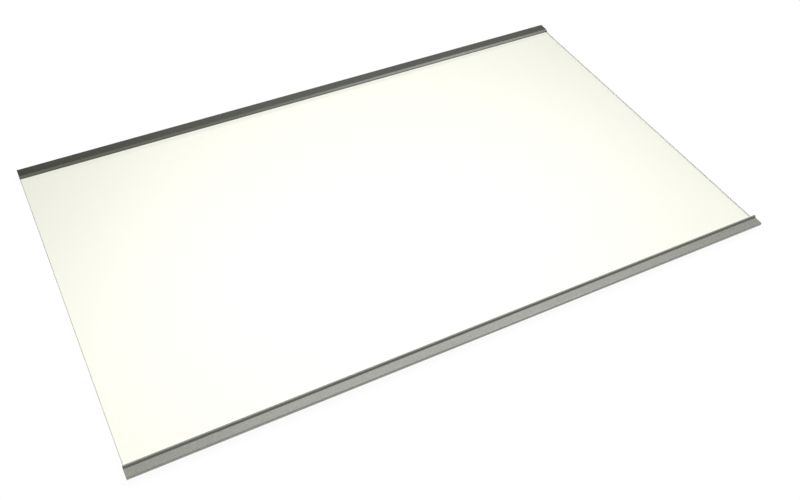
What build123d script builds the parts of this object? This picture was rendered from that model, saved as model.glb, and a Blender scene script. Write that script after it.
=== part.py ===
from build123d import *
import os

# A fridge glass shelf: a toughened glass pane held between two extruded plastic trims.
# Each trim is a channel that is pushed onto a long edge of the pane, where barbed ribs grip the glass
# and a lip seals the upper flange against it.
# Lengths are in millimetres. X runs along the width, +Y points to the back of the fridge, +Z is up.
# The origin lies under the middle of the shelf, on the plane that the trims rest on.

# Glass pane
GLASS_WIDTH = 520.0
GLASS_DEPTH = 307.8
GLASS_THICKNESS = 4.0
GLASS_CORNER_RADIUS = 2.0
GLASS_ARRIS = 0.5

# Channel, the same in both trims
GRIP_GAP = 0.3
EDGE_GAP = 0.25
UPPER_FLANGE = 1.35
LOWER_FLANGE = 1.5
LEAD_IN = 0.4
ROOT_RADIUS = 0.25
LIP_RADIUS = 0.6

# Sealing lip at the free edge of the upper flange
SEAL_WIDTH = 0.8
SEAL_LEAD_IN = 0.2

# Barbed grip ribs, as tall as the grip gap
RIB_LENGTH = 0.9
RIB_TIP = 0.3
RIB_PITCH = 1.5
RIB_MARGIN = 0.2

# Front trim: a hollow nose, a flat ledge over the glass and a raised bead along the ledge's back edge
FRONT_OVERHANG = 0.5
FRONT_COVER = 9.1
FRONT_SUPPORT = 12.0
NOSE_DEPTH = 4.2
NOSE_HEIGHT = 2.2
NOSE_WALL = 1.25
NOSE_RADIUS = 0.8
HEEL_RADIUS = 1.0
CHAMBER_RADIUS = 0.3
BEAD_WIDTH = 2.0
BEAD_CREST = 1.2
BEAD_HEIGHT = 1.5
BEAD_RADIUS = 0.45

# Rear trim: a channel whose upper flange slopes down to the glass
REAR_COVER = 11.6
REAR_SUPPORT = 6.0
REAR_WALL = 2.1
REAR_RADIUS = 0.8
SLOPE_DEPTH = 2.9
SLOPE_FOOT = 0.5
RIDGE_RADIUS = 1.0
FOOT_RADIUS = 0.25

# Levels above the plane that the shelf rests on
glass_bottom = LOWER_FLANGE + GRIP_GAP
glass_top = glass_bottom + GLASS_THICKNESS
channel_top = glass_top + GRIP_GAP
ledge = channel_top + UPPER_FLANGE
bead_top = ledge + BEAD_HEIGHT
nose_foot = ledge - NOSE_HEIGHT

# Places along the depth, with the shelf centred on the origin
overall_depth = NOSE_DEPTH + EDGE_GAP + GLASS_DEPTH + EDGE_GAP + REAR_WALL
front_face = -overall_depth / 2
rear_face = overall_depth / 2
glass_centre = front_face + NOSE_DEPTH + EDGE_GAP + GLASS_DEPTH / 2


def outline(*corners):
    """Closed face through corners given as (inward, up, radius), where radius 0 is a sharp corner."""
    points = [(inward, up) for inward, up, _ in corners]
    radii = [radius for _, _, radius in corners]
    return make_face(FilletPolyline(*points, radius=radii, close=True))


def seal_lip(cover):
    """Corners of the lip that closes an upper flange onto the glass, from the channel's roof to the free edge."""
    return (
        (cover - SEAL_WIDTH - GRIP_GAP, channel_top, 0),
        (cover - SEAL_WIDTH, glass_top, 0),
        (cover - SEAL_LEAD_IN, glass_top, 0),
        (cover, glass_top + SEAL_LEAD_IN, 0),
    )


def grip_ribs(channel_end, limit, wall, upwards):
    """Row of barbs on one channel wall: each slopes towards the mouth and is steep towards the end."""
    height = GRIP_GAP if upwards else -GRIP_GAP
    barb = make_face(Polyline((0, 0), (RIB_LENGTH, 0), (RIB_TIP, height), (0, height), close=True))
    first = channel_end + EDGE_GAP + GLASS_ARRIS + RIB_MARGIN
    count = int((limit - first - RIB_LENGTH) // RIB_PITCH) + 1
    return [Pos(first + index * RIB_PITCH, wall) * barb for index in range(count)]


def front_profile():
    """Section of the front trim, measured inwards from the nose."""
    section = outline(
        (0, ledge, NOSE_RADIUS),
        (0, nose_foot, NOSE_RADIUS),
        (NOSE_DEPTH, 0, HEEL_RADIUS),
        (FRONT_SUPPORT, 0, LIP_RADIUS),
        (FRONT_SUPPORT, LOWER_FLANGE - LEAD_IN, 0),
        (FRONT_SUPPORT - LEAD_IN, LOWER_FLANGE, 0),
        (NOSE_DEPTH, LOWER_FLANGE, ROOT_RADIUS),
        (NOSE_DEPTH, channel_top, ROOT_RADIUS),
        *seal_lip(FRONT_COVER),
        (FRONT_COVER, bead_top, BEAD_RADIUS),
        (FRONT_COVER - BEAD_CREST, bead_top, BEAD_RADIUS),
        (FRONT_COVER - BEAD_WIDTH, ledge, BEAD_RADIUS),
    )
    section += grip_ribs(NOSE_DEPTH, FRONT_SUPPORT - LEAD_IN, LOWER_FLANGE, upwards=True)
    section += grip_ribs(NOSE_DEPTH, FRONT_COVER - SEAL_WIDTH - GRIP_GAP, channel_top, upwards=False)
    return section - nose_chamber()


def nose_chamber():
    """Hollow that leaves an even wall all round the nose."""
    nose = make_face(Polyline((0, ledge), (0, nose_foot), (NOSE_DEPTH, 0), (NOSE_DEPTH, ledge), close=True))
    hollow = offset(nose, -NOSE_WALL, kind=Kind.INTERSECTION)
    return fillet(hollow.vertices(), CHAMBER_RADIUS)


def rear_profile():
    """Section of the rear trim, measured inwards from its back face."""
    section = outline(
        (0, ledge, REAR_RADIUS),
        (0, 0, REAR_RADIUS),
        (REAR_SUPPORT, 0, LIP_RADIUS),
        (REAR_SUPPORT, LOWER_FLANGE - LEAD_IN, 0),
        (REAR_SUPPORT - LEAD_IN, LOWER_FLANGE, 0),
        (REAR_WALL, LOWER_FLANGE, ROOT_RADIUS),
        (REAR_WALL, channel_top, ROOT_RADIUS),
        *seal_lip(REAR_COVER),
        (REAR_COVER, glass_top + SLOPE_FOOT, FOOT_RADIUS),
        (REAR_COVER - SLOPE_DEPTH, ledge, RIDGE_RADIUS),
    )
    section += grip_ribs(REAR_WALL, REAR_SUPPORT - LEAD_IN, LOWER_FLANGE, upwards=True)
    section += grip_ribs(REAR_WALL, REAR_COVER - SEAL_WIDTH - GRIP_GAP, channel_top, upwards=False)
    return section


def glass_pane():
    """Pane with rounded corners and a ground arris along every edge of both faces."""
    blank = extrude(RectangleRounded(GLASS_WIDTH, GLASS_DEPTH, GLASS_CORNER_RADIUS), GLASS_THICKNESS)
    faces = blank.faces().sort_by(Axis.Z)
    rims = faces[0].edges() + faces[-1].edges()
    return Pos(0, glass_centre, glass_bottom) * chamfer(rims, GLASS_ARRIS)


def front_trim():
    """Front profile, cut a little longer than the pane at both ends."""
    section = Plane.YZ * Pos(front_face, 0) * front_profile()
    return extrude(section, GLASS_WIDTH / 2 + FRONT_OVERHANG, both=True)


def rear_trim():
    """Rear profile, turned to face the front trim and cut flush with the pane."""
    section = Plane.YZ * Pos(rear_face, 0) * mirror(rear_profile(), about=Plane.YZ)
    return extrude(section, GLASS_WIDTH / 2, both=True)


parts = {
    "glass_pane": glass_pane(),
    "front_trim": front_trim(),
    "rear_trim": rear_trim(),
}

os.makedirs("parts", exist_ok=True)
for name, part in parts.items():
    part.label = name
    export_step(part, f"parts/{name}.step")
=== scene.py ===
"""A fridge glass shelf: a clear pane held between a silver-faced front trim and a dark rear trim.

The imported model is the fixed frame. Each of its three nodes is replaced by a surface of the same form with
finer edges, worked out with numpy, and dressed with a procedural finish.
X runs along the width, +Y points to the back of the fridge and +Z is up. Lengths are in metres.
"""

import logging
import math
from dataclasses import dataclass, field
from enum import Enum, IntEnum
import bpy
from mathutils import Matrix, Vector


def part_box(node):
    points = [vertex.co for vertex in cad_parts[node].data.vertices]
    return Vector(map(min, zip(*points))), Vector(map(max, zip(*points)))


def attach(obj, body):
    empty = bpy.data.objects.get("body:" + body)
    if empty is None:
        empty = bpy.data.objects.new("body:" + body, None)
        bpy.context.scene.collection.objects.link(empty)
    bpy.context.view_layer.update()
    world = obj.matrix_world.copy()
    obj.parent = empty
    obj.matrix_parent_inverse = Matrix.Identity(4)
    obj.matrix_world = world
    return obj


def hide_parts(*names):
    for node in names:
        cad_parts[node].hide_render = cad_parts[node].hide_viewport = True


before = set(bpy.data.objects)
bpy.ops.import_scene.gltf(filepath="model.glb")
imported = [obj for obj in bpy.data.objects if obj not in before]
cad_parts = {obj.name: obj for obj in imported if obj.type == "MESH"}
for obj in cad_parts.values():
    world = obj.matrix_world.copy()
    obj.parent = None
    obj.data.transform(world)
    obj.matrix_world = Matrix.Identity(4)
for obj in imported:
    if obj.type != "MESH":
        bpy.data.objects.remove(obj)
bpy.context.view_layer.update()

from types import MappingProxyType
from typing import Any, Mapping, Sequence, Union

import bpy
import numpy as np
from mathutils import Matrix, Vector
from mathutils.geometry import delaunay_2d_cdt

log = logging.getLogger("fridge_shelf")

MM = 0.001

# Width of the image in pixels and of the camera's sensor in millimetres
IMAGE_WIDTH = 800
SENSOR_WIDTH = 36.0

# Triangulation and counting
INSIDE_ONLY = 1
MERGE_DISTANCE = 1e-6
ROUNDING_SLACK = 1e-6

# What the finishes share
NOISE_MIDDLE = 0.5
NOISE_GAIN = 4.0
MIDDLE_TONE = 0.5
TONE_SPAN = (-0.2, 1.2)
GLASS_IOR = 1.52
WHITE = (1.0, 1.0, 1.0, 1.0)
NOTHING: Mapping[str, Any] = MappingProxyType({})

Colour = tuple[float, float, float]
Direction = tuple[float, float, float]
Point = tuple[float, float, float]
Pitch = tuple[float, float, float]
Span = tuple[float, float]
Number = Union[float, "Signal"]


# Shader expressions


class Ray(Enum):
    """Kinds of ray, by the output of the Light Path node that marks them."""

    CAMERA = "Is Camera Ray"
    GLOSSY = "Is Glossy Ray"
    MIRRORED = "Is Singular Ray"
    SHADOW = "Is Shadow Ray"
    TRANSMITTED = "Is Transmission Ray"


class Signal:
    """One output socket of a node tree that takes part in Python arithmetic."""

    def __init__(self, bench: "Bench", socket: bpy.types.NodeSocket) -> None:
        """Keeps the bench that makes further nodes and the socket itself."""
        self.bench = bench
        self.socket = socket

    def _math(self, operation: str, first: Number, second: Number) -> "Signal":
        """Adds one Math node.

        Args:
            operation: Blender's name of the operation.
            first: The left operand.
            second: The right operand.

        Returns:
            The node's result.
        """
        operands = {"Value": first, "Value_001": second}
        return self.bench.node("ShaderNodeMath", {"operation": operation}, operands)

    def __add__(self, other: Number) -> "Signal":
        """self + other"""
        return self._math("ADD", self, other)

    def __radd__(self, other: Number) -> "Signal":
        """other + self"""
        return self._math("ADD", other, self)

    def __sub__(self, other: Number) -> "Signal":
        """self - other"""
        return self._math("SUBTRACT", self, other)

    def __rsub__(self, other: Number) -> "Signal":
        """other - self"""
        return self._math("SUBTRACT", other, self)

    def __mul__(self, other: Number) -> "Signal":
        """self * other"""
        return self._math("MULTIPLY", self, other)

    def __rmul__(self, other: Number) -> "Signal":
        """other * self"""
        return self._math("MULTIPLY", other, self)

    def ramp(self, low: float, high: float) -> "Signal":
        """Rises smoothly from 0 to 1.

        Args:
            low: Where the rise starts.
            high: Where it ends.

        Returns:
            The result, held at 0 below low and at 1 above high.
        """
        return self.bench.node("ShaderNodeMapRange", {"interpolation_type": "SMOOTHSTEP"},
                               {"Value": self, "From Min": low, "From Max": high})


class Bench:
    """The node tree of one material or world, with one method that makes any node."""

    def __init__(self, owner: Union[bpy.types.Material, bpy.types.World]) -> None:
        """Empties the owner's node tree.

        Args:
            owner: The material or world to be built.
        """
        owner.use_nodes = True
        self.tree = owner.node_tree
        self.tree.nodes.clear()

    def node(self, kind: str, settings: Mapping[str, Any] = NOTHING, sockets: Mapping[str, Any] = NOTHING,
             output: str = "") -> Signal:
        """Adds a node.

        Args:
            kind: The node's type.
            settings: Properties of the node, set first.
            sockets: Values or links of its inputs, by the input's identifier.
            output: Identifier of the wanted output, or nothing for the first one.

        Returns:
            The wanted output.
        """
        made = self.tree.nodes.new(kind)
        for name, value in settings.items():
            setattr(made, name, value)
        inputs = {socket.identifier: socket for socket in made.inputs}
        for name, value in sockets.items():
            if isinstance(value, Signal):
                self.tree.links.new(value.socket, inputs[name])
            else:
                inputs[name].default_value = value
        outputs = {socket.identifier: socket for socket in made.outputs}
        return Signal(self, outputs[output] if output else next(iter(outputs.values()), None))

    def ray(self, kind: Ray) -> Signal:
        """1 for rays of a kind and 0 for all others."""
        return self.node("ShaderNodeLightPath", output=kind.value)

    def noise(self, pitch: Pitch, detail: float) -> Signal:
        """Soft noise about 0, roughly from -1 to 1.

        Args:
            pitch: Cells per metre along each axis, so that a pattern runs long where it is small.
            detail: Number of finer layers on top of the first.

        Returns:
            The noise at the object's own coordinates.
        """
        point = self.node("ShaderNodeTexCoord", output="Object")
        place = self.node("ShaderNodeMapping", sockets={"Vector": point, "Scale": pitch})
        raw = self.node("ShaderNodeTexNoise", sockets={"Vector": place, "Scale": 1.0, "Detail": detail})
        return (raw - NOISE_MIDDLE) * NOISE_GAIN

    def blend(self, factor: Signal, first: Colour, second: Colour) -> Signal:
        """Mixes two colours.

        Args:
            factor: 0 for the first colour, 1 for the second.
            first: The first colour.
            second: The second colour.

        Returns:
            The mixed colour.
        """
        colours = {"Factor_Float": factor, "A_Color": (*first, 1.0), "B_Color": (*second, 1.0)}
        return self.node("ShaderNodeMix", {"data_type": "RGBA"}, colours, "Result_Color")

    def bump(self, height: Signal, distance: float) -> Signal:
        """Tilts the surface's normal by a height.

        Args:
            height: The height, as a share of distance.
            distance: The height's unit, in metres.

        Returns:
            The tilted normal.
        """
        return self.node("ShaderNodeBump", sockets={"Height": height, "Strength": 1.0, "Distance": distance})

    def mix(self, factor: Signal, first: Signal, second: Signal) -> Signal:
        """Mixes two shaders.

        Args:
            factor: 0 for the first shader, 1 for the second.
            first: The first shader.
            second: The second shader.

        Returns:
            The mixed shader.
        """
        shaders = {"Fac": factor, "Shader": first, "Shader_001": second}
        return self.node("ShaderNodeMixShader", sockets=shaders)

    def surface(self, shader: Signal) -> None:
        """Links a shader to the material's output."""
        self.node("ShaderNodeOutputMaterial", sockets={"Surface": shader})


# Finishes


@dataclass(frozen=True)
class ExtrudedPlastic:
    """Satin plastic from an extrusion die: faint lines along X over fine flecks and grain."""

    name: str
    dark: Colour
    light: Colour
    roughness: float
    ior: float = 1.5
    line_run: float = 7.0
    line_pitch: float = 1900.0
    grain_pitch: float = 3200.0
    fleck_pitch: float = 900.0
    drift_pitch: Pitch = (9.0, 60.0, 60.0)
    line_tone: float = 0.22
    drift_tone: float = 0.18
    fleck_tone: float = 0.5
    line_gloss: float = 0.04
    grain_gloss: float = 0.03
    relief: float = 0.007 * MM
    line_relief: float = 0.6
    grain_relief: float = 0.4

    def material(self) -> bpy.types.Material:
        """Builds the material.

        Colour drifts slowly along the length and follows the die lines and the flecks. Roughness follows
        lines and grain, and both stand proud as a bump.

        Returns:
            The new material.
        """
        made = bpy.data.materials.new(self.name)
        bench = Bench(made)
        lines = bench.noise((self.line_run, self.line_pitch, self.line_pitch), detail=2.0)
        grain = bench.noise((self.grain_pitch,) * 3, detail=2.0)
        drift = bench.noise(self.drift_pitch, detail=1.0)
        flecks = bench.noise((self.fleck_pitch,) * 3, detail=3.0)
        tone = MIDDLE_TONE + self.line_tone * lines + self.drift_tone * drift + self.fleck_tone * flecks
        height = self.line_relief * lines + self.grain_relief * grain
        bench.surface(bench.node("ShaderNodeBsdfPrincipled", sockets={
            "Base Color": bench.blend(tone.ramp(*TONE_SPAN), self.dark, self.light),
            "Roughness": self.roughness + self.line_gloss * lines + self.grain_gloss * grain,
            "IOR": self.ior,
            "Normal": bench.bump(height, self.relief),
        }))
        return made


REAR_BODY = ExtrudedPlastic("dark_grey_body", (0.013, 0.016, 0.006), (0.042, 0.046, 0.029), roughness=0.32)
# Lighter grey for the rear trim's slope down to the glass: a painted highlight on the same dark plastic
REAR_LIP_PAINTED_HIGHLIGHT = ExtrudedPlastic("lip_painted_highlight", (0.051, 0.054, 0.038), (0.071, 0.075, 0.054),
                           roughness=0.30, relief=0.004 * MM)
FRONT_BODY = ExtrudedPlastic("mid_grey_body", (0.088, 0.092, 0.077), (0.112, 0.117, 0.100), roughness=0.50)
# Lighter grey for the front bead's crest and back flank: a painted highlight, lighter than the body on its
# front flank
FRONT_CREST_PAINTED_HIGHLIGHT = ExtrudedPlastic("crest_painted_highlight", (0.185, 0.189, 0.165), (0.235, 0.240, 0.211),
                              roughness=0.32, relief=0.005 * MM)
FRONT_FILM = ExtrudedPlastic("silver_grey_film", (0.168, 0.175, 0.146), (0.243, 0.251, 0.214),
                             roughness=0.16, ior=1.65, line_run=12.0, line_pitch=2600.0, relief=0.002 * MM)


@dataclass(frozen=True)
class ClearGlass:
    """Polished float glass with a faint warm tint and the slight roller wave of toughening."""

    name: str = "clear_toughened_glass"
    tint: Colour = (0.928, 0.929, 0.830)
    wave_pitch: Pitch = (5.4, 9.0, 1.0)
    wave_height: float = 0.012 * MM
    shade: Colour = (0.985, 0.985, 0.985)

    def material(self) -> bpy.types.Material:
        """Builds the material.

        Shadow rays pass straight through, because a refracted shadow would leave the floor below dark.

        Returns:
            The new material.
        """
        made = bpy.data.materials.new(self.name)
        bench = Bench(made)
        wave = bench.noise(self.wave_pitch, detail=0.0)
        glass = bench.node("ShaderNodeBsdfPrincipled", sockets={
            "Base Color": (*self.tint, 1.0),
            "Roughness": 0.0,
            "IOR": GLASS_IOR,
            "Transmission Weight": 1.0,
            "Normal": bench.bump(wave, self.wave_height),
        })
        through = bench.node("ShaderNodeBsdfTransparent", sockets={"Color": (*self.shade, 1.0)})
        bench.surface(bench.mix(bench.ray(Ray.SHADOW), glass, through))
        return made


@dataclass(frozen=True)
class GroundGlass:
    """Ground glass: fine grinding marks along the edge leave it grey and matt."""

    name: str
    dark: Colour
    light: Colour
    transmission: float
    roughness: float = 0.5
    grain_pitch: float = 2500.0
    mark_pitch: Pitch = (160.0, 160.0, 4000.0)
    grain_tone: float = 0.2
    mark_tone: float = 0.2
    grain_gloss: float = 0.08
    relief: float = 0.03 * MM
    grain_relief: float = 0.6
    mark_relief: float = 0.4

    def material(self) -> bpy.types.Material:
        """Builds the material.

        Returns:
            The new material, whose colour, roughness and bump follow the grain and the grinding marks.
        """
        made = bpy.data.materials.new(self.name)
        bench = Bench(made)
        grain = bench.noise((self.grain_pitch,) * 3, detail=3.0)
        marks = bench.noise(self.mark_pitch, detail=2.0)
        tone = MIDDLE_TONE + self.grain_tone * grain + self.mark_tone * marks
        height = self.grain_relief * grain + self.mark_relief * marks
        bench.surface(bench.node("ShaderNodeBsdfPrincipled", sockets={
            "Base Color": bench.blend(tone.ramp(*TONE_SPAN), self.dark, self.light),
            "Roughness": self.roughness + self.grain_gloss * grain,
            "IOR": GLASS_IOR,
            "Transmission Weight": self.transmission,
            "Normal": bench.bump(height, self.relief),
        }))
        return made


GROUND_EDGE = GroundGlass("ground_glass_edge", (0.88, 0.88, 0.79), (0.98, 0.98, 0.89), transmission=0.88)
# A darker grey copy of the ground edge for the upper arris: painted shade
GROUND_ARRIS_PAINTED_SHADE = GroundGlass("ground_glass_arris_painted_shade", (0.42, 0.42, 0.36), (0.56, 0.56, 0.49), transmission=0.50)


@dataclass(frozen=True)
class WhitePaper:
    """The floor's paper: part of what is seen of it is an even white, and the rest keeps the shadows."""

    name: str = "white_paper"
    albedo: Colour = (0.96, 0.96, 0.96)
    glow: float = 0.93
    pane_glow: float = 0.985

    def material(self) -> bpy.types.Material:
        """Builds the material.

        Returns:
            The new material, whiter where it is seen through the pane than where it is seen directly.
        """
        made = bpy.data.materials.new(self.name)
        bench = Bench(made)
        through = bench.ray(Ray.TRANSMITTED)
        seen = bench.ray(Ray.CAMERA) + bench.ray(Ray.GLOSSY) + through
        share = seen.ramp(0.0, 1.0) * self.glow + through * (self.pane_glow - self.glow)
        paper = bench.node("ShaderNodeBsdfDiffuse", sockets={"Color": (*self.albedo, 1.0)})
        white = bench.node("ShaderNodeEmission", sockets={"Color": WHITE, "Strength": 1.0})
        bench.surface(bench.mix(share, paper, white))
        return made


# Surfaces


class PaneZone(IntEnum):
    """Material slots of the pane."""

    FACE = 0
    EDGE = 1
    PAINTED_SHADE_ARRIS = 2


class TrimZone(IntEnum):
    """Material slots of a trim. The slot after the body is a lighter grey that paints a highlight on the
    bead's crest in front and on the slope down to the glass at the back.
    """

    BODY = 0
    PAINTED_HIGHLIGHT = 1
    FILM = 2


@dataclass(frozen=True)
class Outline:
    """A closed line in a plane with the outward normal at each of its points."""

    points: np.ndarray
    normals: np.ndarray

    @classmethod
    def rounded(cls, corners: np.ndarray, steps: int) -> "Outline":
        """Rounds every corner of a polygon with an arc.

        The arc of radius r at corner P touches both sides: its centre is P + m * r / sin(h), with m the unit
        bisector of the sides and h half the angle between them. The normal turns evenly from the normal of
        the side before to that of the side after, and a point is the centre plus r along the normal, or
        minus it where the corner turns inwards.

        Args:
            corners: Rows of u, v and radius, anticlockwise round the material, clockwise round a hole.
            steps: Points on each arc.

        Returns:
            The rounded outline.
        """
        corner, radius = corners[:, :2], corners[:, 2]
        before = corner - np.roll(corner, 1, axis=0)
        before /= np.linalg.norm(before, axis=1, keepdims=True)
        after = np.roll(before, -1, axis=0)
        cross = before[:, 0] * after[:, 1] - before[:, 1] * after[:, 0]
        turn = np.arctan2(cross, (before * after).sum(axis=1))
        inward = after - before
        inward /= np.linalg.norm(inward, axis=1, keepdims=True)
        centre = corner + inward * (radius / np.cos(turn / 2))[:, None]
        start = np.arctan2(-before[:, 0], before[:, 1])
        angle = start[:, None] + turn[:, None] * np.linspace(0.0, 1.0, steps)
        normals = np.stack([np.cos(angle), np.sin(angle)], axis=-1)
        points = centre[:, None] + (np.sign(turn) * radius)[:, None, None] * normals
        return cls(points.reshape(-1, 2), normals.reshape(-1, 2))

    def middles(self) -> np.ndarray:
        """Middle of the side that follows each point."""
        return (self.points + np.roll(self.points, -1, axis=0)) / 2


@dataclass(frozen=True)
class Loft:
    """Outlines carried along an axis, drawn in or out at each station, and closed at both ends.

    A point is u * U + v * V + s * A for the point (u, v) of an outline moved against its normal by the inset
    of station s. U, V and A are the rows of axes, with A = U x V. The first outline is the outer one, and
    the others are holes.
    """

    outlines: Sequence[Outline]
    stations: np.ndarray
    axes: np.ndarray

    def vertices(self) -> np.ndarray:
        """Every station of each outline in turn.

        Returns:
            Points, one row each.
        """
        place, inset = self.stations.T
        grids = [
            (line.points[None] - inset[:, None, None] * line.normals[None]) @ self.axes[:2]
            + place[:, None, None] * self.axes[2]
            for line in self.outlines
        ]
        return np.concatenate([grid.reshape(-1, 3) for grid in grids])

    def counts(self) -> np.ndarray:
        """Number of points on each outline."""
        return np.array([len(line.points) for line in self.outlines])

    def starts(self) -> np.ndarray:
        """Number of each outline's first vertex."""
        return np.concatenate([[0], np.cumsum(self.counts() * len(self.stations))[:-1]])

    def walls(self) -> tuple[np.ndarray, np.ndarray]:
        """Quads between neighbouring stations.

        The normal of a span from (s, inset) to (s + ds, inset + di) is ds * n + di * A, for the outline's
        normal n.

        Returns:
            Vertex numbers of the quads, and the normal at each of their corners.
        """
        along, drawn = np.diff(self.stations, axis=0).T[:, :, None, None]
        quads, normals = [], []
        for start, line in zip(self.starts(), self.outlines):
            count = len(line.points)
            first = start + np.arange(len(along))[:, None] * count
            here = first + np.arange(count)
            there = first + np.roll(np.arange(count), -1)
            quads.append(np.stack([here, there, there + count, here + count], axis=-1).reshape(-1, 4))
            tilt = along * line.normals @ self.axes[:2] + drawn * self.axes[2]
            tilt /= np.linalg.norm(tilt, axis=-1, keepdims=True)
            ahead = np.roll(tilt, -1, axis=1)
            normals.append(np.stack([tilt, ahead, ahead, tilt], axis=2).reshape(-1, 4, 3))
        return np.concatenate(quads), np.concatenate(normals)

    def cap(self) -> np.ndarray:
        """Triangles of one end, between the outer outline and the holes.

        A constrained Delaunay triangulation keeps the sides of every outline. What lies in a hole belongs to
        the hole's ring as well as to the outer one, and is left out.

        Returns:
            Rows of three anticlockwise point numbers, counted through all outlines.
        """
        flat = np.concatenate([line.points - self.stations[-1, 1] * line.normals for line in self.outlines])
        rings = np.split(np.arange(len(flat)), np.cumsum(self.counts())[:-1])
        rings[1:] = [hole[::-1] for hole in rings[1:]]
        _, _, triangles, _, _, owners = delaunay_2d_cdt(
            (flat / MM).tolist(), [], [ring.tolist() for ring in rings], INSIDE_ONLY, MERGE_DISTANCE)
        return np.array([triangle for triangle, owner in zip(triangles, owners) if owner == [0]])

    def ends(self) -> tuple[np.ndarray, np.ndarray]:
        """Triangles that close both ends.

        Returns:
            Vertex numbers of the triangles, and the normal at each of their corners.
        """
        cap, counts = self.cap(), self.counts()
        near = np.concatenate([start + np.arange(count) for start, count in zip(self.starts(), counts)])
        far = near + np.repeat(counts, counts) * (len(self.stations) - 1)
        normals = np.repeat(np.stack([-self.axes[2], self.axes[2]]), len(cap), axis=0)
        return np.concatenate([near[cap[:, ::-1]], far[cap]]), np.repeat(normals[:, None], 3, axis=1)

    def piece(self, name: str, wall_zones: np.ndarray, end_zone: IntEnum,
              materials: Sequence[bpy.types.Material]) -> bpy.types.Object:
        """Makes the object.

        Args:
            name: The object's name.
            wall_zones: Zone of each wall quad.
            end_zone: Zone of both ends.
            materials: One material for each zone.

        Returns:
            The object, linked to the scene, with its exact normals.
        """
        quads, quad_normals = self.walls()
        triangles, triangle_normals = self.ends()
        mesh = bpy.data.meshes.new(name)
        mesh.from_pydata(self.vertices().tolist(), [], quads.tolist() + triangles.tolist(), shade_flat=False)
        zones = np.concatenate([wall_zones, np.full(len(triangles), end_zone)]).astype(np.int32)
        mesh.polygons.foreach_set("material_index", zones)
        for material in materials:
            mesh.materials.append(material)
        normals = np.concatenate([quad_normals.reshape(-1, 3), triangle_normals.reshape(-1, 3)])
        mesh.normals_split_custom_set(normals.tolist())
        mesh.update()
        made = bpy.data.objects.new(name, mesh)
        bpy.context.scene.collection.objects.link(made)
        return made


# Pieces


@dataclass
class GlassPane:
    """The pane: polished faces and a ground edge with a bevelled arris all round."""

    node: str = "glass_pane"
    name: str = "pane"
    corner_radius: float = 2.0 * MM
    arris: float = 0.5 * MM
    crown: float = 0.06 * MM
    arc_steps: int = 9

    def loft(self) -> Loft:
        """Carries the plan outline up through the thickness, drawn in at both arrises.

        Returns:
            The pane's solid.
        """
        low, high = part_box(self.node)
        corners = np.array([
            (low.x, low.y, self.corner_radius), (high.x, low.y, self.corner_radius),
            (high.x, high.y, self.corner_radius), (low.x, high.y, self.corner_radius),
        ])
        stations = np.array([
            (low.z, self.arris), (low.z + self.arris, self.crown), (low.z + 2 * self.arris, 0.0),
            (high.z - 2 * self.arris, 0.0), (high.z - self.arris, self.crown), (high.z, self.arris),
        ])
        return Loft([Outline.rounded(corners, self.arc_steps)], stations, np.eye(3))

    def build(self) -> bpy.types.Object:
        """Builds and dresses the pane, with painted shade on the upper arris: a greyer copy of the ground
        finish of the edge.

        Returns:
            The finished piece.
        """
        loft = self.loft()
        spans = np.full(len(loft.stations) - 1, PaneZone.EDGE)
        # The upper arris takes the darker ground finish as painted shade
        spans[-1] = PaneZone.PAINTED_SHADE_ARRIS
        zones = np.repeat(spans, loft.counts()[0])
        finishes = (ClearGlass(), GROUND_EDGE, GROUND_ARRIS_PAINTED_SHADE)
        return loft.piece(self.name, zones, PaneZone.FACE, [finish.material() for finish in finishes])


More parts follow.
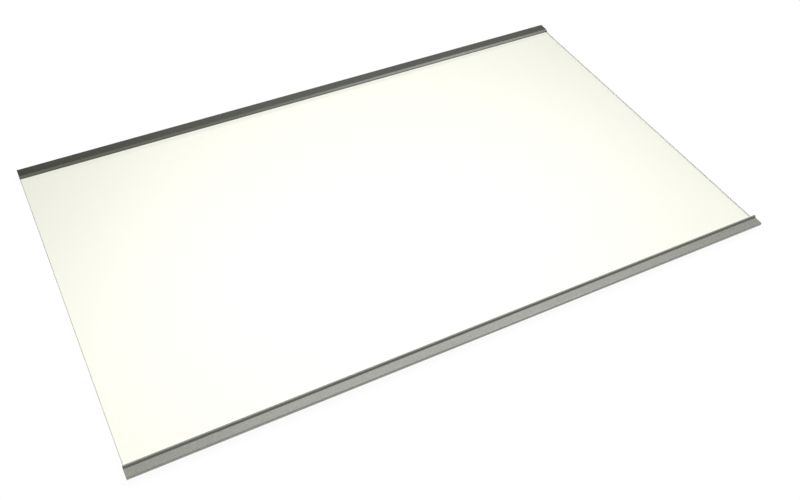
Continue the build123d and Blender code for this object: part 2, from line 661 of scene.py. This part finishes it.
@dataclass
class EdgeTrim:
    """What both trims share: a channel along X that grips one long edge of the pane with barbed ribs.

    A lip along the free edge of the upper flange seals it against the glass.
    """

    node: str
    name: str
    cover: float
    support: float
    channel_end: float
    grip_gap: float = 0.3 * MM
    edge_gap: float = 0.25 * MM
    arris: float = 0.5 * MM
    lead_in: float = 0.4 * MM
    root_radius: float = 0.25 * MM
    lip_radius: float = 0.6 * MM
    edge_radius: float = 0.12 * MM
    seal_width: float = 0.8 * MM
    seal_lead_in: float = 0.2 * MM
    rib_length: float = 0.9 * MM
    rib_tip: float = 0.3 * MM
    rib_pitch: float = 1.5 * MM
    rib_margin: float = 0.2 * MM
    clearance: float = 0.02 * MM
    saw_break: float = 0.06 * MM
    arc_steps: int = 9

    def ribs(self, limit: float, level: float, height: float) -> np.ndarray:
        """Corners of the barbs along one flange, from the channel's end towards its mouth.

        Each barb rises square, has a short flat tip and slopes down towards the mouth, so the glass slides
        in and is held.

        Args:
            limit: Inward distance that the last barb stays behind.
            level: Height of the flange's inner face.
            height: Height of a barb, negative where it hangs from the upper flange.

        Returns:
            Rows of inward distance, height and radius.
        """
        first = self.channel_end + self.edge_gap + self.arris + self.rib_margin
        count = int((limit - first - self.rib_length) / self.rib_pitch + ROUNDING_SLACK) + 1
        steps = np.array([0.0, 0.0, self.rib_tip, self.rib_length])
        rises = np.array([0.0, height, height, 0.0])
        inward = first + self.rib_pitch * np.arange(count)[:, None] + steps
        heights = np.broadcast_to(level + rises, inward.shape)
        return np.stack([inward, heights, np.full_like(inward, self.edge_radius)], axis=-1).reshape(-1, 3)

    def channel(self) -> np.ndarray:
        """Corners of the channel's inside, from the lower flange's free edge round to the sealing lip.

        Returns:
            Rows of inward distance, height and radius.
        """
        low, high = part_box("glass_pane")
        floor, roof = low.z - self.grip_gap, high.z + self.grip_gap
        rise = self.grip_gap - self.clearance
        touch = high.z + self.clearance
        seal = self.cover - self.seal_width
        mouth = self.support - self.lead_in
        return np.concatenate([
            [(self.support, floor - self.lead_in, self.edge_radius), (mouth, floor, self.edge_radius)],
            self.ribs(mouth, floor, rise)[::-1],
            [(self.channel_end, floor, self.root_radius), (self.channel_end, roof, self.root_radius)],
            self.ribs(seal - self.grip_gap, roof, -rise),
            [(seal - self.grip_gap, roof, self.edge_radius), (seal, touch, self.edge_radius),
             (self.cover - self.seal_lead_in, touch, self.edge_radius),
             (self.cover, touch + self.seal_lead_in, self.edge_radius)],
        ])

    def dress(self, outlines: Sequence[Outline], zones: np.ndarray,
              finishes: Sequence[ExtrudedPlastic]) -> bpy.types.Object:
        """Carries a section along X, breaks the edges of both sawn ends and dresses the piece.

        Args:
            outlines: The section's outlines in the plane of Y and Z.
            zones: Zone of each side of the first outline. Every other face is the body's.
            finishes: Finish of each zone.

        Returns:
            The finished piece.
        """
        low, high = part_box(self.node)
        stations = np.array([
            (low.x, self.saw_break), (low.x + self.saw_break, 0.0),
            (high.x - self.saw_break, 0.0), (high.x, self.saw_break),
        ])
        loft = Loft(outlines, stations, np.roll(np.eye(3), -1, axis=0))
        spans = len(stations) - 1
        inner = np.full(spans * loft.counts()[1:].sum(), TrimZone.BODY)
        walls = np.concatenate([np.tile(zones, spans), inner])
        return loft.piece(self.name, walls, TrimZone.BODY, [finish.material() for finish in finishes])


@dataclass
class FrontTrim(EdgeTrim):
    """The front trim: a hollow nose, a silver ledge over the glass and a raised bead along its back edge."""

    node: str = "front_trim"
    name: str = "front_edge_trim"
    cover: float = 9.1 * MM
    support: float = 12.0 * MM
    channel_end: float = 4.2 * MM
    nose_height: float = 2.2 * MM
    nose_wall: float = 1.25 * MM
    nose_radius: float = 0.8 * MM
    heel_radius: float = 1.0 * MM
    chamber_radius: float = 0.3 * MM
    bead_width: float = 2.0 * MM
    bead_crest: float = 1.2 * MM
    bead_height: float = 1.5 * MM
    bead_radius: float = 0.45 * MM
    film_edge: float = 0.35 * MM
    # Width of the painted shade strip along the nose's upper arc
    painted_shade_width: float = 0.3 * MM

    def chamber(self, ledge: float) -> np.ndarray:
        """Corners of the hollow that leaves an even wall round the nose.

        Each side of the nose's section moves in by the wall, which shifts a corner by
        wall * (n1 + n2) / (1 + n1 . n2) for the inward normals n1 and n2 of its two sides.

        Args:
            ledge: Height of the ledge.

        Returns:
            Rows of inward distance, height and radius, clockwise.
        """
        foot = ledge - self.nose_height
        nose = np.array([(0.0, ledge), (0.0, foot), (self.channel_end, 0.0), (self.channel_end, ledge)])
        side = np.roll(nose, -1, axis=0) - nose
        side /= np.linalg.norm(side, axis=1, keepdims=True)
        normal = np.stack([-side[:, 1], side[:, 0]], axis=1)
        before = np.roll(normal, 1, axis=0)
        shift = self.nose_wall * (normal + before) / (1.0 + (normal * before).sum(axis=1, keepdims=True))
        return np.hstack([nose + shift, np.full((len(nose), 1), self.chamber_radius)])[::-1]

    def build(self) -> bpy.types.Object:
        """Builds and dresses the trim.

        Film covers the ledge and the nose, apart from a strip along the middle of the nose's upper edge that
        keeps the darker body colour as painted shade. The bead's crest takes a lighter grey as a painted
        highlight.

        Returns:
            The finished piece.
        """
        low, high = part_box(self.node)
        ledge = high.z - self.bead_height
        foot = ledge - self.nose_height
        bead_front = self.cover - self.bead_width
        crest_front = self.cover - self.bead_crest
        section = np.concatenate([
            [(0.0, ledge, self.nose_radius), (0.0, foot, self.nose_radius),
             (self.channel_end, 0.0, self.heel_radius), (self.support, 0.0, self.lip_radius)],
            self.channel(),
            [(self.cover, high.z, self.bead_radius), (crest_front, high.z, self.bead_radius),
             (bead_front, ledge, self.bead_radius)],
        ])
        move = np.array([low.y, 0.0, 0.0])
        outlines = [Outline.rounded(line + move, self.arc_steps) for line in (section, self.chamber(ledge))]
        inward, height = (outlines[0].middles() - move[:2]).T
        film = (inward < bead_front - self.film_edge) & (height > foot)
        # The middle of the nose's upper arc lies this far in from the corner along both axes
        dip = self.nose_radius * (1.0 - math.sqrt(0.5))
        # Painted shade: the middle of the nose's upper arc keeps the darker body colour instead of the film
        painted_shade_line = np.hypot(inward - dip, height - ledge + dip) < self.painted_shade_width / 2
        zones = np.full(len(inward), TrimZone.BODY)
        zones[film & ~painted_shade_line] = TrimZone.FILM
        # Painted highlight: the bead's crest and back flank take a lighter grey than its front flank
        zones[(inward > crest_front) & (height > ledge)] = TrimZone.PAINTED_HIGHLIGHT
        return self.dress(outlines, zones, [FRONT_BODY, FRONT_CREST_PAINTED_HIGHLIGHT, FRONT_FILM])


@dataclass
class RearTrim(EdgeTrim):
    """The rear trim: a dark channel whose upper flange slopes down to the glass as a lip, painted lighter as
    a highlight.
    """

    node: str = "rear_trim"
    name: str = "rear_edge_trim"
    cover: float = 11.6 * MM
    support: float = 6.0 * MM
    channel_end: float = 2.1 * MM
    back_radius: float = 0.8 * MM
    slope_depth: float = 2.55 * MM
    slope_foot: float = 0.5 * MM
    ridge_radius: float = 0.8 * MM
    toe_width: float = 0.5 * MM
    toe_height: float = 0.36 * MM

    def build(self) -> bpy.types.Object:
        """Builds and dresses the trim, with a lighter grey on the slope as a painted highlight and the dark
        body colour on the toe as a painted shade line along the glass.

        Returns:
            The finished piece.
        """
        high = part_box(self.node)[1]
        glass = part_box("glass_pane")[1].z
        ridge = self.cover - self.slope_depth
        fall = (high.z - glass - self.slope_foot) / self.slope_depth
        brow = glass + self.slope_foot + fall * self.toe_width
        section = np.concatenate([
            [(0.0, high.z, self.back_radius), (0.0, 0.0, self.back_radius),
             (self.support, 0.0, self.lip_radius)],
            self.channel(),
            [(self.cover, glass + self.toe_height, self.edge_radius),
             (self.cover - self.toe_width, brow, self.edge_radius), (ridge, high.z, self.ridge_radius)],
        ])
        mirrored = (section * (-1.0, 1.0, 1.0) + (high.y, 0.0, 0.0))[::-1]
        outline = Outline.rounded(mirrored, self.arc_steps)
        back, height = outline.middles().T
        # The slope above the brow takes the lighter grey as a painted highlight; the toe below it keeps the
        # dark body colour as a painted shade line along the glass
        lip = (high.y - back > ridge) & (height > brow)
        return self.dress([outline], np.where(lip, TrimZone.PAINTED_HIGHLIGHT, TrimZone.BODY), [REAR_BODY, REAR_LIP_PAINTED_HIGHLIGHT])


@dataclass
class Shelf:
    """The whole shelf, in the order in which it is put together."""

    pane: GlassPane = field(default_factory=GlassPane)
    front: FrontTrim = field(default_factory=FrontTrim)
    rear: RearTrim = field(default_factory=RearTrim)

    def build(self) -> None:
        """Builds the three pieces, sets each in its node's place and reports it."""
        for part in (self.pane, self.front, self.rear):
            piece = part.build()
            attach(piece, "root")
            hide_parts(part.node)
            log.info("%s stands for %s, %d faces", piece.name, part.node, len(piece.data.polygons))


# Studio


@dataclass(frozen=True)
class Patch:
    """A soft round patch of light on the dome.

    Its edge gives where the light starts and where it is full, as cosines of the angle from the middle.
    """

    strength: float
    axis: Direction
    edge: Span


BRIGHT_CAP = Patch(1.32, (0.2015, 0.0937, 0.9750), (0.681, 0.843))
BACK_GLOW = Patch(1.67, (0.3245, 0.5981, 0.7328), (0.927, 1.005))
FRONT_FILL = Patch(0.95, (-0.125, -0.890, 0.438), (0.40, 0.90))


@dataclass
class Studio:
    """White round cove, dome light, one soft key lamp and the camera."""

    paper: WhitePaper = WhitePaper()
    floor_drop: float = 0.1 * MM
    hub_radius: float = 0.02
    cove_start: float = 4.0
    cove_radius: float = 3.0
    cove_turn: float = 62.0
    cove_around: int = 96
    cove_along: int = 24
    dome_strength: float = 0.08
    dome_patches: tuple[Patch, ...] = (BRIGHT_CAP, BACK_GLOW, FRONT_FILL)
    horizon_edge: Span = (0.225, 0.42)
    key_axis: Direction = (0.46, 0.114, 0.881)
    key_distance: float = 4.0
    key_size: float = 1.0
    key_power: float = 32.0
    eye: Point = (-0.26600, -0.47343, 0.51690)
    heading: float = 28.719
    elevation: float = 46.565
    roll: float = 2.419
    focal_pixels: float = 913.4
    centre_x: float = 375.0

    def floor(self) -> None:
        """Lays a level round floor that curves up into a rim.

        The rim's section is an arc of the cove radius, carried round Z, so radius and height are functions
        of the distance along the section. One face closes the hub in the middle.
        """
        turn = np.radians(self.cove_turn) * np.linspace(0.0, 1.0, self.cove_along)
        reach = np.concatenate([[self.hub_radius], self.cove_start + self.cove_radius * np.sin(turn)])
        rise = np.concatenate([[0.0], self.cove_radius * (1.0 - np.cos(turn))]) - self.floor_drop
        around = np.linspace(0.0, 2.0 * np.pi, self.cove_around, endpoint=False)
        level = np.broadcast_to(rise[:, None], (len(rise), self.cove_around))
        grid = np.stack([np.outer(reach, np.cos(around)), np.outer(reach, np.sin(around)), level], axis=-1)
        row = np.arange(len(reach) - 1)[:, None] * self.cove_around
        here = row + np.arange(self.cove_around)
        there = row + np.roll(np.arange(self.cove_around), -1)
        quads = np.stack([here, here + self.cove_around, there + self.cove_around, there], axis=-1)
        faces = quads.reshape(-1, 4).tolist() + [list(range(self.cove_around))]
        mesh = bpy.data.meshes.new("floor")
        mesh.from_pydata(grid.reshape(-1, 3).tolist(), [], faces, shade_flat=False)
        mesh.materials.append(self.paper.material())
        made = bpy.data.objects.new("floor", mesh)
        bpy.context.scene.collection.objects.link(made)

    def dome(self) -> None:
        """Lights the scene from a dim dome with a bright cap, a glow behind the shelf and a fill before it.

        The camera sees plain white behind the floor's rim. Polished glass mirrors a white horizon that fades
        into the dome above the rim, so that no hard edge shows in the pane.
        """
        world = bpy.data.worlds.new("dome")
        bpy.context.scene.world = world
        bench = Bench(world)
        direction = bench.node("ShaderNodeTexCoord", output="Generated")
        light: Number = self.dome_strength
        for patch in self.dome_patches:
            nearness = bench.node("ShaderNodeVectorMath", {"operation": "DOT_PRODUCT"},
                                  {"Vector": direction, "Vector_001": patch.axis}, "Value")
            light = light + patch.strength * nearness.ramp(*patch.edge)
        height = bench.node("ShaderNodeSeparateXYZ", sockets={"Vector": direction}, output="Z")
        horizon = 1.0 - height.ramp(*self.horizon_edge)
        white = bench.ray(Ray.CAMERA) + bench.ray(Ray.MIRRORED) * horizon
        strength = light + white * (1.0 - light)
        shader = bench.node("ShaderNodeBackground", sockets={"Color": WHITE, "Strength": strength})
        bench.node("ShaderNodeOutputWorld", sockets={"Surface": shader})

    def key(self) -> None:
        """Hangs one soft lamp over the right end, turned to the shelf."""
        lamp = bpy.data.lights.new("key", "AREA")
        lamp.shape = "DISK"
        lamp.size = self.key_size
        lamp.energy = self.key_power
        made = bpy.data.objects.new("key", lamp)
        made.location = Vector(self.key_axis) * self.key_distance
        made.rotation_euler = made.location.to_track_quat("Z", "Y").to_euler()
        bpy.context.scene.collection.objects.link(made)

    def camera(self) -> None:
        """Sets up the camera from its eye point, heading, elevation and roll."""
        heading, elevation, roll = (math.radians(a) for a in (self.heading, self.elevation, self.roll))
        reach = math.cos(elevation)
        ahead = Vector((math.sin(heading) * reach, math.cos(heading) * reach, -math.sin(elevation)))
        level = Vector((math.cos(heading), -math.sin(heading), 0.0))
        right = level * math.cos(roll) + level.cross(ahead) * math.sin(roll)
        up = right.cross(ahead)
        lens = bpy.data.cameras.new("camera")
        lens.sensor_fit = "HORIZONTAL"
        lens.sensor_width = SENSOR_WIDTH
        lens.lens = self.focal_pixels * SENSOR_WIDTH / IMAGE_WIDTH
        lens.shift_x = (IMAGE_WIDTH / 2 - self.centre_x) / IMAGE_WIDTH
        made = bpy.data.objects.new("camera", lens)
        made.matrix_world = Matrix.Translation(self.eye) @ Matrix((right, up, -ahead)).transposed().to_4x4()
        bpy.context.scene.collection.objects.link(made)
        bpy.context.scene.camera = made

    def build(self) -> None:
        """Sets up the whole studio."""
        bpy.context.scene.view_settings.view_transform = "Standard"
        self.floor()
        self.dome()
        self.key()
        self.camera()


def main() -> None:
    """Builds the shelf and its studio."""
    logging.basicConfig(level=logging.INFO, format="%(name)s: %(message)s")
    Shelf().build()
    Studio().build()
    log.info("studio ready")


if __name__ == "__main__":
    main()
